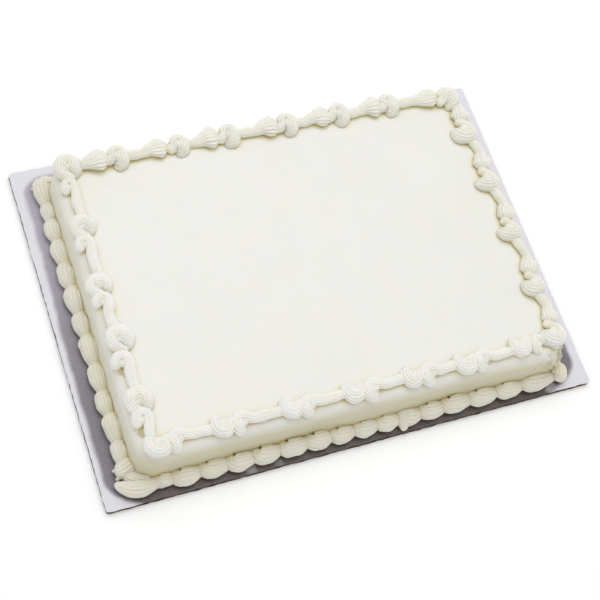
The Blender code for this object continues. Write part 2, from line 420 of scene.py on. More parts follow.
class Value:
    """Number from a shader node. Arithmetic on it adds Math nodes."""

    def __init__(self, tree: bpy.types.NodeTree, socket: bpy.types.NodeSocket) -> None:
        """Wraps the output socket of a node in its tree."""
        self.tree = tree
        self.socket = socket

    def _math(self, operation: str, *terms: "Value | float") -> "Value":
        """Adds one Math node.

        Args:
            operation: Name of the Math node's operation.
            *terms: Values or plain numbers, in the order of the node's sockets.

        Returns:
            The node's result.
        """
        node = self.tree.nodes.new("ShaderNodeMath")
        node.operation = operation
        for socket, term in zip(node.inputs, terms):
            if isinstance(term, Value):
                self.tree.links.new(term.socket, socket)
            else:
                socket.default_value = term
        return Value(self.tree, node.outputs[0])

    def __add__(self, other: "Value | float") -> "Value":
        """Sum."""
        return self._math("ADD", self, other)

    def __sub__(self, other: "Value | float") -> "Value":
        """Difference."""
        return self._math("SUBTRACT", self, other)

    def __rsub__(self, other: float) -> "Value":
        """Difference from a plain number."""
        return self._math("SUBTRACT", other, self)

    def __mul__(self, other: "Value | float") -> "Value":
        """Product."""
        return self._math("MULTIPLY", self, other)

    def __truediv__(self, other: "Value | float") -> "Value":
        """Quotient."""
        return self._math("DIVIDE", self, other)

    def __pow__(self, other: float) -> "Value":
        """Power."""
        return self._math("POWER", self, other)

    def __abs__(self) -> "Value":
        """Size without the sign."""
        return self._math("ABSOLUTE", self)

    __radd__ = __add__
    __rmul__ = __mul__

    def at_least(self, low: "Value | float") -> "Value":
        """The larger of this and another value."""
        return self._math("MAXIMUM", self, low)

    def at_most(self, high: "Value | float") -> "Value":
        """The smaller of this and another value."""
        return self._math("MINIMUM", self, high)

    def eased(self, low: float, high: float) -> "Value":
        """Smooth step from 0 at low to 1 at high."""
        node = self.tree.nodes.new("ShaderNodeMapRange")
        node.interpolation_type = "SMOOTHSTEP"
        self.tree.links.new(self.socket, node.inputs["Value"])
        node.inputs["From Min"].default_value = low
        node.inputs["From Max"].default_value = high
        return Value(self.tree, node.outputs["Result"])


class Recipe:
    """Material that is put together from nodes."""

    def __init__(self, name: str) -> None:
        """Starts a material with a Principled shader."""
        self.material = bpy.data.materials.new(name)
        self.material.use_nodes = True
        self.tree = self.material.node_tree
        self.shader = self.tree.nodes["Principled BSDF"]

    def node(self, kind: str, settings: dict[str, object] | None = None,
             values: dict[str | int, object] | None = None) -> bpy.types.Node:
        """Adds a node.

        Args:
            kind: Node type without its "ShaderNode" prefix.
            settings: Properties of the node, set before its sockets.
            values: For each socket, a plain value, a Value or another node's socket.

        Returns:
            The node.
        """
        node = self.tree.nodes.new("ShaderNode" + kind)
        for key, setting in (settings or {}).items():
            setattr(node, key, setting)
        for key, value in (values or {}).items():
            self.feed(node.inputs[key], value)
        return node

    def feed(self, socket: bpy.types.NodeSocket, value: object) -> None:
        """Links a value to a socket, or sets it there if it is plain."""
        if isinstance(value, Value):
            self.tree.links.new(value.socket, socket)
        elif isinstance(value, bpy.types.NodeSocket):
            self.tree.links.new(value, socket)
        elif isinstance(value, tuple) and len(value) == 3 and socket.type == "RGBA":
            socket.default_value = (*value, 1.0)
        else:
            socket.default_value = value

    def place(self) -> tuple[Value, Value, Value]:
        """Place on the object, in millimetres along each axis."""
        where = self.node("TexCoord").outputs["Object"]
        parts = self.node("SeparateXYZ", values={0: where}).outputs
        x, y, z = (Value(self.tree, part) for part in parts)
        return x / MM, y / MM, z / MM

    def noise(self, size: float, detail: float = 2.0, stretch: Colour = (1.0, 1.0, 1.0),
              rough: float = 0.5) -> Value:
        """Cloudy pattern from 0 to 1.

        Args:
            size: Rough size of one cloud in millimetres.
            detail: How many finer layers are added.
            stretch: How much finer the clouds are along each axis.
            rough: Weight of the finer layers.

        Returns:
            The pattern.
        """
        where = self.node("TexCoord").outputs["Object"]
        scaled = self.node("VectorMath", {"operation": "MULTIPLY"}, {0: where, 1: stretch}).outputs[0]
        cloud = self.node("TexNoise", values={"Vector": scaled, "Scale": 1.0 / (size * MM),
                                              "Detail": detail, "Roughness": rough})
        return Value(self.tree, cloud.outputs[0])

    def attribute(self, name: str) -> Value:
        """Number that the mesh carries."""
        return Value(self.tree, self.node("Attribute", {"attribute_name": name}).outputs["Fac"])

    def nearby(self, distance: float, samples: int = 8) -> Value:
        """How open a place is, from 0 in a deep crease to 1, within a distance in millimetres."""
        node = self.node("AmbientOcclusion", {"samples": samples}, {"Distance": distance * MM})
        return Value(self.tree, node.outputs["AO"])

    def spots(self, places: Sequence[tuple[float, ...]]) -> Value | float:
        """Ragged spots.

        Args:
            places: For each spot its x, y and z, its radius and its strength.

        Returns:
            How strong a spot is, from 0 outside them to 1.
        """
        where = self.node("TexCoord").outputs["Object"]
        ragged = self.noise(RAG_SIZE) - 0.5
        total: Value | float = 0.0
        for x, y, z, radius, strength in places:
            away = self.node("VectorMath", {"operation": "DISTANCE"}, {0: where, 1: (x * MM, y * MM, z * MM)})
            distance = Value(self.tree, away.outputs["Value"]) / (radius * MM) + ragged * RAG_REACH
            total = ((1.0 - distance.eased(SPOT_HEART, 1.0)) * strength).at_least(total)
        return total

    def blend(self, share: Value | float, below: object, above: object) -> bpy.types.NodeSocket:
        """Colour that goes from one colour to another.

        Args:
            share: 0 gives the first colour and 1 the second.
            below: First colour, or the socket that gives it.
            above: Second colour, or the socket that gives it.

        Returns:
            Socket with the colour.
        """
        node = self.node("Mix", {"data_type": "RGBA"}, {0: share})
        self.feed(node.inputs[MIX_FIRST], below)
        self.feed(node.inputs[MIX_SECOND], above)
        return node.outputs[MIX_RESULT]

    def bump(self, height: Value, strength: float, distance: float,
             under: bpy.types.NodeSocket | None = None) -> bpy.types.NodeSocket:
        """Surface direction from a height.

        Args:
            height: Height from 0 to 1.
            strength: How much of the bump shows.
            distance: Real height that 1 stands for, in millimetres.
            under: Coarser bump that this one lies on.

        Returns:
            Socket with the direction.
        """
        node = self.node("Bump", values={"Height": height, "Strength": strength, "Distance": distance * MM})
        if under is not None:
            self.feed(node.inputs["Normal"], under)
        return node.outputs["Normal"]

    def shade(self, **sockets: object) -> bpy.types.Material:
        """Sets sockets of the Principled shader, with _ for a space in their names.

        Args:
            **sockets: A value for each socket.

        Returns:
            The finished material.
        """
        for name, value in sockets.items():
            self.feed(self.shader.inputs[name.replace("_", " ")], value)
        return self.material


@dataclass(frozen=True)
class Buttercream:
    """White buttercream, with painted shade in its creases and nozzle grooves.

    Attributes:
        name: Name of the material.
        cream: Colour in the open.
        warm: Colour of a slightly yellower patch.
        warm_share: How much of that colour a patch takes.
        patch: Size of a patch in millimetres.
        patch_edge: Values of the cloudy pattern between which a patch begins.
        crease: Colour of the painted shade deep in a crease and in a nozzle groove, warm like light that
            reaches there only through the cream.
        shut: How closed in a place is where that colour starts, and where it is full.
        groove_share: How much a nozzle groove counts as a crease.
        groove_edge: How deep in a groove it starts to count, and where it counts in full.
        depth: Width in millimetres of the creases that get the painted shade.
        roughness: Roughness of the surface.
        grain: Height in millimetres of the fine grain.
        fine: Size in millimetres, and strength, of the fine grain.
        coarse: Size, strength and height of the grain below it, the height as a share of the fine one's.
        glow: Share of the light that travels inside the cream.
        glow_reach: How far it travels, in millimetres.
        glow_shares: How far its red, green and blue do, as shares of that.
    """

    name: str
    cream: Colour = (0.91, 0.905, 0.86)
    warm: Colour = (0.91, 0.895, 0.82)
    warm_share: float = 0.6
    patch: float = 26.0
    patch_edge: tuple[float, float] = (0.35, 0.7)
    crease: Colour = (0.86, 0.76, 0.42)
    shut: tuple[float, float] = (0.12, 0.72)
    groove_share: float = 0.0
    groove_edge: tuple[float, float] = (0.35, 1.0)
    depth: float = 5.0
    roughness: float = 0.48
    grain: float = 0.10
    fine: tuple[float, float] = (0.9, 0.35)
    coarse: tuple[float, float, float] = (5.0, 0.4, 2.5)
    glow: float = 0.6
    glow_reach: float = 3.4
    glow_shares: Colour = (1.0, 0.85, 0.5)

    def mix(self) -> bpy.types.Material:
        """Makes the material."""
        recipe = Recipe(self.name)
        patches = recipe.noise(self.patch, 3.0).eased(*self.patch_edge)
        colour = self.tint(recipe, recipe.blend(patches * self.warm_share, self.cream, self.warm))
        # Painted shade: the colour turns towards the crease colour where ambient occlusion finds a crease,
        # and deep in the nozzle grooves.
        shut = (1.0 - recipe.nearby(self.depth)).eased(*self.shut)
        if self.groove_share:
            groove = recipe.attribute("hollow").eased(*self.groove_edge)
            shut = (shut + groove * self.groove_share).at_most(1.0)
        colour = recipe.blend(shut, colour, self.crease)
        size, strength, height = self.coarse
        below = recipe.bump(recipe.noise(size), strength, self.grain * height)
        size, strength = self.fine
        direction = recipe.bump(recipe.noise(size, 3.0), strength, self.grain, below)
        return recipe.shade(Base_Color=colour, Roughness=self.roughness, Normal=direction,
                            Subsurface_Weight=self.glow, Subsurface_Radius=self.glow_shares,
                            Subsurface_Scale=self.glow_reach * MM)

    def tint(self, recipe: Recipe, colour: bpy.types.NodeSocket) -> bpy.types.NodeSocket:
        """Colour of the cream once its surroundings have tinted it."""
        return colour


@dataclass(frozen=True)
class SpreadCream(Buttercream):
    """Buttercream spread over the cake, with painted shade on the walls, darkest and yellowest on the front
    wall.

    Attributes:
        wall: Colour of the painted shade on the walls.
        low: Height below which the walls have that colour.
        high: Height above which the icing is as white as on the top.
        front: Way towards the front over which a wall turns into the front one.
        side_share: How much of that colour shows on walls other than the front one.
        brown: Colour of the brown spots.
        brown_spots: Where they lie: x, y, z, radius and strength of each; the first five are painted shade in
            the pits under the left side's small swirls.
    """

    wall: Colour = (0.725, 0.685, 0.51)
    low: float = 29.0
    high: float = 37.3
    front: tuple[float, float] = (84.0, 112.0)
    side_share: float = 0.42
    brown: Colour = (0.56, 0.46, 0.26)
    brown_spots: Rows = (
        (-147.9, 87.0, 36.0, 4.6, 0.8),
        (-148.6, 43.5, 36.0, 4.6, 0.85),
        (-148.0, 1.5, 36.0, 4.4, 0.8),
        (-146.8, -49.0, 36.0, 4.4, 0.8),
        (-146.8, -92.0, 36.0, 4.6, 0.8),
        (150.5, -106.0, 27.0, 9.0, 0.22),
        (141.0, -113.5, 13.0, 2.2, 0.8),
        (130.0, -113.0, 26.5, 1.6, 0.8))

    def tint(self, recipe: Recipe, colour: bpy.types.NodeSocket) -> bpy.types.NodeSocket:
        """Colour of the icing with painted shade on its walls and its brown spots."""
        _, y, z = recipe.place()
        # Painted shade: below the round top edge the walls turn darker and yellower, the front wall most.
        down = 1.0 - z.eased(self.low, self.high)
        front = (0.0 - y).eased(*self.front)
        share = down * (front * (1.0 - self.side_share) + self.side_share)
        # The first five brown spots are painted shade in the pits under the small swirls of the left side.
        return recipe.blend(recipe.spots(self.brown_spots), recipe.blend(share, colour, self.wall), self.brown)


@dataclass(frozen=True)
class RimCream(Buttercream):
    """Buttercream of the top border, with painted shade towards the back and on the right side.

    Attributes:
        far_shade: Colour of the painted shade at the back.
        back: Way towards the back over which the painted shade grows.
        right: Way towards the right side over which it does.
        right_front: Way from the front over which the right side's painted shade grows to its full share.
        most: How much of the painted shade shows at most.
    """

    far_shade: Colour = (0.875, 0.87, 0.79)
    back: tuple[float, float] = (20.0, 104.0)
    right: tuple[float, float] = (112.0, 146.0)
    right_front: tuple[float, float] = (-112.0, -60.0)
    most: float = 0.85

    def tint(self, recipe: Recipe, colour: bpy.types.NodeSocket) -> bpy.types.NodeSocket:
        """Colour of the cream with painted shade at its back and its right side."""
        x, y, _ = recipe.place()
        right = x.eased(*self.right) * (y.eased(*self.right_front) * 0.5 + 0.5)
        # Painted shade: the cream turns duller and yellower towards the back and the right side.
        return recipe.blend(y.eased(*self.back).at_least(right) * self.most, colour, self.far_shade)


@dataclass(frozen=True)
class BoardPaper:
    """White paper on the board, with grease soaked in round the cake, painted shade near the piping and along
    the front, and painted sheen on glossy droplets.

    A pair of numbers is the way, in millimetres, over which something goes from nothing to full.

    Attributes:
        clean: Colour of the dry rim.
        soaked: Colour where grease has soaked in.
        damp_and_lit: The same at the back, lighter for less grease and for painted light from the back.
        damp_back: Way towards the back over which the soaked colour turns into that lighter one.
        dark: Colour close to the piping and along the front, for more grease and for painted shade there.
        piping: How much of it shows close to the piping, and how far in from the patch's edge that is.
        strip: How much of it shows in a strip along the front.
        strip_front: Way towards the front over which the strip begins.
        strip_ends: Way from both ends over which it does.
        half_x: Half the length of the soaked patch.
        half_y: Half its depth.
        corner: Radius of its corners.
        spare: How much further it reaches to both ends.
        sag: How much further it reaches at the left end of the front.
        sag_front: Way towards the front over which it does.
        sag_left: Way towards the left over which it does.
        bulge: How much further it reaches over the front edge.
        bulge_front: Way towards the front over which it does.
        bulge_x: Middle and half length of that bulge.
        bulge_ends: Way in from the ends of the bulge.
        wander: How far the patch's edge wanders, and the size of its waves.
        fade: Width inside the patch's edge, and outside it, over which the paper goes from soaked to dry.
        droplet_sheen: Colour of the painted sheen on glossy droplets.
        droplet_sheens: Painted sheen on glossy droplets: x, y, z, radius and strength of each.
        fibre: Colour of the fibres that stand out, and how much of it shows.
        fibre_size: Size of the fibres.
        fibre_edge: Values of their pattern between which one begins.
        fibre_relief: Strength and height of the relief that they give the paper.
        roughness: Roughness of the dry paper, and how much smoother the grease makes it.
    """

    clean: Colour = (0.80, 0.79, 0.85)
    soaked: Colour = (0.19, 0.169, 0.197)
    damp_and_lit: Colour = (0.44, 0.41, 0.49)
    damp_back: tuple[float, float] = (-80.0, 112.0)
    dark: Colour = (0.075, 0.055, 0.050)
    piping: tuple[float, float] = (0.22, 16.0)
    strip: float = 0.95
    strip_front: tuple[float, float] = (114.0, 121.0)
    strip_ends: tuple[float, float] = (-170.0, -150.0)
    half_x: float = 171.3
    half_y: float = 121.2
    corner: float = 15.0
    spare: float = 0.5
    sag: float = 3.2
    sag_front: tuple[float, float] = (-95.0, 30.0)
    sag_left: tuple[float, float] = (0.0, 40.0)
    bulge: float = 9.5
    bulge_front: tuple[float, float] = (96.0, 122.0)
    bulge_x: tuple[float, float] = (-4.0, 172.0)
    bulge_ends: tuple[float, float] = (4.0, 30.0)
    wander: tuple[float, float] = (3.0, 14.0)
    fade: tuple[float, float] = (3.0, 1.2)
    droplet_sheen: Colour = (0.42, 0.41, 0.42)
    droplet_sheens: Rows = (
        (-78.8, -123.3, 4.0, 5.0, 0.5),
        (-59.2, -124.5, 4.0, 3.5, 0.25),
        (147.5, -123.8, 4.0, 6.5, 0.75),
        (-169.8, 53.0, 4.0, 4.0, 0.35))
    fibre: tuple[Colour, float] = ((0.9, 0.9, 0.93), 0.10)
    fibre_size: float = 2.2
    fibre_edge: tuple[float, float] = (0.3, 0.9)
    fibre_relief: tuple[float, float] = (0.25, 0.08)
    roughness: tuple[float, float] = (0.62, 0.2)

    def _wetness(self, recipe: Recipe, x: Value, y: Value) -> tuple[Value, Value]:
        """How far the grease has soaked in.

        Args:
            recipe: The material.
            x: Place along the board.
            y: Place towards its back.

        Returns:
            Distance outside the soaked patch, and 1 where the paper is soaked.
        """
        forward = 0.0 - y
        reach, size = self.wander
        wander = (recipe.noise(size, 3.0) - 0.5) * reach
        middle, half = self.bulge_x
        along = (half - abs(x - middle)).eased(*self.bulge_ends)
        bulge = forward.eased(*self.bulge_front) * along * self.bulge
        sag = forward.eased(*self.sag_front) * (0.0 - x).eased(*self.sag_left) * self.sag + self.spare
        beyond_x = abs(x) - (self.half_x - self.corner) - sag
        beyond_y = abs(y) - (self.half_y - self.corner) - bulge
        outside = (beyond_x.at_least(0.0) ** 2.0 + beyond_y.at_least(0.0) ** 2.0) ** 0.5
        inside = beyond_x.at_least(beyond_y).at_most(0.0)
        distance = outside + inside - self.corner + wander
        soaked, dry = self.fade
        return distance, 1.0 - distance.eased(-soaked, dry)

    def mix(self) -> bpy.types.Material:
        """Makes the material."""
        recipe = Recipe("board_paper_soaked")
        x, y, _ = recipe.place()
        distance, wet = self._wetness(recipe, x, y)
        # Painted shade, partly more grease: darker towards the piping, and darkest in a strip along the
        # front.
        share, width = self.piping
        strip = (0.0 - y).eased(*self.strip_front) * (0.0 - abs(x)).eased(*self.strip_ends)
        grease_and_shade = ((0.0 - distance).eased(0.0, width) * share + strip * self.strip).at_most(1.0)
        fibre = recipe.noise(self.fibre_size, 4.0, (1.0, 3.0, 1.0))
        # Lighter towards the back: partly less grease, partly painted light from the back.
        colour = recipe.blend(y.eased(*self.damp_back), self.soaked, self.damp_and_lit)
        colour = recipe.blend(grease_and_shade, colour, self.dark)
        # Painted sheen on glossy droplets, as lighter spots.
        colour = recipe.blend(recipe.spots(self.droplet_sheens), colour, self.droplet_sheen)
        colour = recipe.blend(wet, self.clean, colour)
        pale, share = self.fibre
        colour = recipe.blend(fibre.eased(*self.fibre_edge) * share, colour, pale)
        dry, smoother = self.roughness
        return recipe.shade(Base_Color=colour, Roughness=dry - wet * smoother,
                            Normal=recipe.bump(fibre, *self.fibre_relief))


@dataclass(frozen=True)
class Kraft:
    """Bare brown card at the cut edges of the board.

    Attributes:
        light: Colour of the fibres that stand out.
        dark: Colour of the rest.
        pale: Colour of the two short edges: white fibres show there, and the paler colour is also painted
            light against the shaded front edge.
        ends: Distance from the middle of the board at which they begin.
        pale_share: How much of that colour shows there.
        fibre_size: Size of the fibres in millimetres.
        fibre_edge: Values of their pattern between which one begins.
        fibre_relief: Strength and height in millimetres of the relief that they give the card.
        roughness: Roughness of the card.
    """

    light: Colour = (0.30, 0.21, 0.13)
    dark: Colour = (0.10, 0.065, 0.042)
    pale: Colour = (0.52, 0.50, 0.50)
    ends: tuple[float, float] = (175.5, 177.3)
    pale_share: float = 0.75
    fibre_size: float = 1.6
    fibre_edge: tuple[float, float] = (0.35, 0.7)
    fibre_relief: tuple[float, float] = (0.5, 0.15)
    roughness: float = 0.85

    def mix(self) -> bpy.types.Material:
        """Makes the material."""
        recipe = Recipe("kraft_card")
        x, _, _ = recipe.place()
        fibre = recipe.noise(self.fibre_size, 5.0, (0.4, 0.4, 2.0), 0.65)
        colour = recipe.blend(fibre.eased(*self.fibre_edge), self.dark, self.light)
        # Paler at the two short edges: white fibres, and painted light against the shaded front edge.
        colour = recipe.blend(abs(x).eased(*self.ends) * self.pale_share, colour, self.pale)
        return recipe.shade(Base_Color=colour, Roughness=self.roughness,
                            Normal=recipe.bump(fibre, *self.fibre_relief))


@dataclass(frozen=True)
class Patch:
    """Place where the spread icing is rough.

    Attributes:
        x: Its middle along the cake.
        y: Its middle towards the back.
        z: Its height.
        reach: Its radius.
        rough: How rough it is there.
        heart: Share of the radius within which it is that rough.
    """

    x: float
    y: float
    z: float
    reach: float
    rough: float
    heart: float = 0.35

    def share(self, points: np.ndarray) -> np.ndarray:
        """Roughness that the patch brings to points."""
        away = np.linalg.norm(points - (self.x, self.y, self.z), axis=-1)
        return self.rough * (1.0 - ease(self.heart * self.reach, self.reach, away))


@dataclass(frozen=True)
class Block:
    """Iced block of cake.

    Attributes:
        length: Length at the foot of the wall.
        depth: Depth at the foot of the wall.
        base: Height of its foot.
        height: Height of the iced top above the foot.
        corner: Radius of the upright corners.
        draft: How far the wall leans in on its way up.
        shoulder: Radius of the round top edge.
        pitch: Size of the mesh's faces.
        wall_rings: Rings of the mesh up the wall.
        shoulder_rings: Rings over the round edge.
        first_turn: Angle in degrees of the first of them.
        corner_steps: Steps of the mesh round an upright corner.
        least_corner: Least radius of a ring's corners.
        gap: Half the depth of the one flat face in the middle of the top.
        foot: Height over which the unevenness begins.
        knife: How much finer than its length the knife's unevenness is along x, y and z.
        sway: Slow unevenness of the spread icing.
        trowel: Finer unevenness that the knife leaves.
        lumps: Unevenness of a rough patch.
        patches: Where the icing is rough.
        finish: What it is iced with.
    """

    length: float = 312.0
    depth: float = 228.0
    base: float = 4.0
    height: float = 33.5
    corner: float = 14.0
    draft: float = 1.5
    shoulder: float = 10.0
    pitch: float = 1.7
    wall_rings: int = 15
    shoulder_rings: int = 10
    first_turn: float = 9.0
    corner_steps: int = 8
    least_corner: float = 0.4
    gap: float = 0.5
    foot: float = 4.0
    knife: tuple[float, float, float] = (1.0, 2.2, 2.2)
    sway: Ripple = Ripple(58.0, 0.35, 21)
    trowel: Ripple = Ripple(16.0, 0.07, 22)
    lumps: Ripple = Ripple(5.5, 1.0, 23)
    patches: tuple[Patch, ...] = (
        Patch(149.0, -107.0, 33.0, 16.0, 1.3), Patch(150.0, -110.0, 22.0, 14.0, 1.2),
        Patch(151.5, -110.0, 12.0, 10.0, 0.60), Patch(-151.5, -109.5, 13.0, 9.0, 0.60),
        Patch(138.0, -113.0, 30.0, 9.0, 0.45), Patch(-153.0, 92.0, 30.0, 8.0, 0.35))
    finish: Buttercream = SpreadCream("spread_icing", depth=6.0, grain=0.06, roughness=0.42)

    @property
    def top(self) -> float:
        """Height of the iced top."""
        return self.base + self.height

    def span(self, side: Side) -> float:
        """Length of a side at the foot of the wall."""
        return float(abs(side.along) @ (self.length, self.depth))

    def place(self, side: Side, distance: np.ndarray | float, offset: np.ndarray | float) -> np.ndarray:
        """Places along a side.

        Args:
            side: Side of the cake.
            distance: Distances from the corner where the side starts, at the foot of the wall.
            offset: Distances outwards from the foot of the wall.

        Returns:
            Rows of x and y.
        """
        half = np.array((self.length / 2.0, self.depth / 2.0))
        corner = half * (side.outward - side.along)
        return (corner + np.multiply.outer(np.asarray(distance, float), side.along)
                + np.multiply.outer(np.asarray(offset, float), side.outward))

    def resting(self, spots: np.ndarray, radius: np.ndarray, sunk: float = 0.2) -> np.ndarray:
        """Height of a rope's middle where it lies on the top or on the round edge.

        Args:
            spots: Rows of x and y.
            radius: Radius of the rope at each of them.
            sunk: Share of the radius that has sunk into the icing.

        Returns:
            One height for each row.
        """
        inset = np.minimum(self.length / 2.0 - abs(spots[:, 0]), self.depth / 2.0 - abs(spots[:, 1]))
        hang = np.maximum(0.0, self.draft + self.shoulder - inset)
        reach = self.shoulder + radius * (1.0 - sunk)
        return self.top - self.shoulder + np.sqrt(np.maximum(reach ** 2 - hang ** 2, 1.0))

    def _ring(self, inset: float) -> np.ndarray:
        """Points round the block, this far in from the foot of the wall."""
        half_x, half_y = self.length / 2.0 - inset, self.depth / 2.0 - inset
        radius = max(self.least_corner, min(self.corner, half_y - self.least_corner))
        steps = [np.linspace(-1.0, 1.0, round(side / self.pitch))[:-1] for side in (self.length, self.depth)]
        turns = np.linspace(0.0, math.pi / 2.0, self.corner_steps + 1)[:-1]
        return rounded_ring(half_x, half_y, radius, steps, turns)

    def _levels(self) -> list[tuple[float, float]]:
        """Inset and height of each ring of the mesh, from the foot of the wall to the middle of the top."""
        levels = [(self.draft * up, self.base + (self.height - self.shoulder) * up)
                  for up in np.linspace(0.0, 1.0, self.wall_rings)]
        levels += [(self.draft + self.shoulder * (1.0 - math.cos(angle)),
                    self.top - self.shoulder * (1.0 - math.sin(angle)))
                   for angle in np.radians(np.linspace(self.first_turn, 90.0, self.shoulder_rings))]
        edge, middle = self.draft + self.shoulder, self.depth / 2.0
        insets = np.linspace(edge, middle - self.gap, round((middle - edge) / self.pitch))
        return levels + [(inset, self.top) for inset in insets[1:]]

    def build(self) -> bpy.types.Object:
        """Makes the block with its knife marks."""
        points = np.stack([at_height(self._ring(inset), height) for inset, height in self._levels()])
        uneven = self.sway.at(points) + self.trowel.at(points * self.knife)
        uneven += self.lumps.at(points) * sum(patch.share(points) for patch in self.patches)
        uneven *= ease(self.base, self.base + self.foot, points[..., 2])
        return stacked(points + self._outward(points) * uneven[..., None]).to_object("iced_block")

    def _outward(self, points: np.ndarray) -> np.ndarray:
        """Direction out of the block at points of its surface."""
        inner = np.array((self.length / 2.0, self.depth / 2.0)) - self.draft - self.shoulder
        core = np.empty_like(points)
        core[..., :2] = np.clip(points[..., :2], -inner, inner)
        core[..., 2] = np.minimum(points[..., 2], self.top - self.shoulder)
        away = points - core
        away[..., 2] += 1e-3
        return unit(away)

    def dress(self, block: bpy.types.Object) -> None:
        """Ices the block and hands it to the frame."""
        block.data.materials.append(self.finish.mix())
        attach(block, "root")
        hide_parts("cake_body")


@dataclass(frozen=True)
class Pair:
    """Big swirl with the small swirl and tail that follow it. Offsets point outwards from the tails' line.

    Attributes:
        at: Distance of the big swirl from the corner of the cake's foot.
        offset: Offset of its middle.
        size: Its size.
        squeeze: Length of its turn along the side as a share of its width across.
        lead: Distance from it to the small swirl.
        small_offset: Offset of the small swirl's middle.
        small_size: Size of the small swirl.
        stretch: Its length along the side as a share of its width across.
        tail: Offset of the tail.
    """

    at: float
    offset: float
    size: float
    squeeze: float
    lead: float
    small_offset: float
    small_size: float
    stretch: float
    tail: float


@dataclass(frozen=True)
class Run:
    """How the swirls lie along one side of the top.

    Attributes:
        inset: Distance of the tails' line from the foot of the wall.
        start: Angle at which a big swirl starts, turned from the piping direction to outwards.
        turn: How far it turns, in degrees.
        fan: Whether a small swirl is spread into a fan instead of curling.
        small_start: Angle at which a small swirl that curls starts.
        small_reach: How far out it starts, as a share of its turning radius.
        merge: Distance from a small swirl to the start of its tail.
        slope: How much further out a tail ends than it starts.
        close: Distance and offset at which the last tail ends.
        pairs: The pairs of swirls.
    """

    inset: float
    start: float
    turn: float
    fan: bool
    small_start: float
    small_reach: float
    merge: float
    slope: float
    close: tuple[float, float]
    pairs: tuple[Pair, ...]


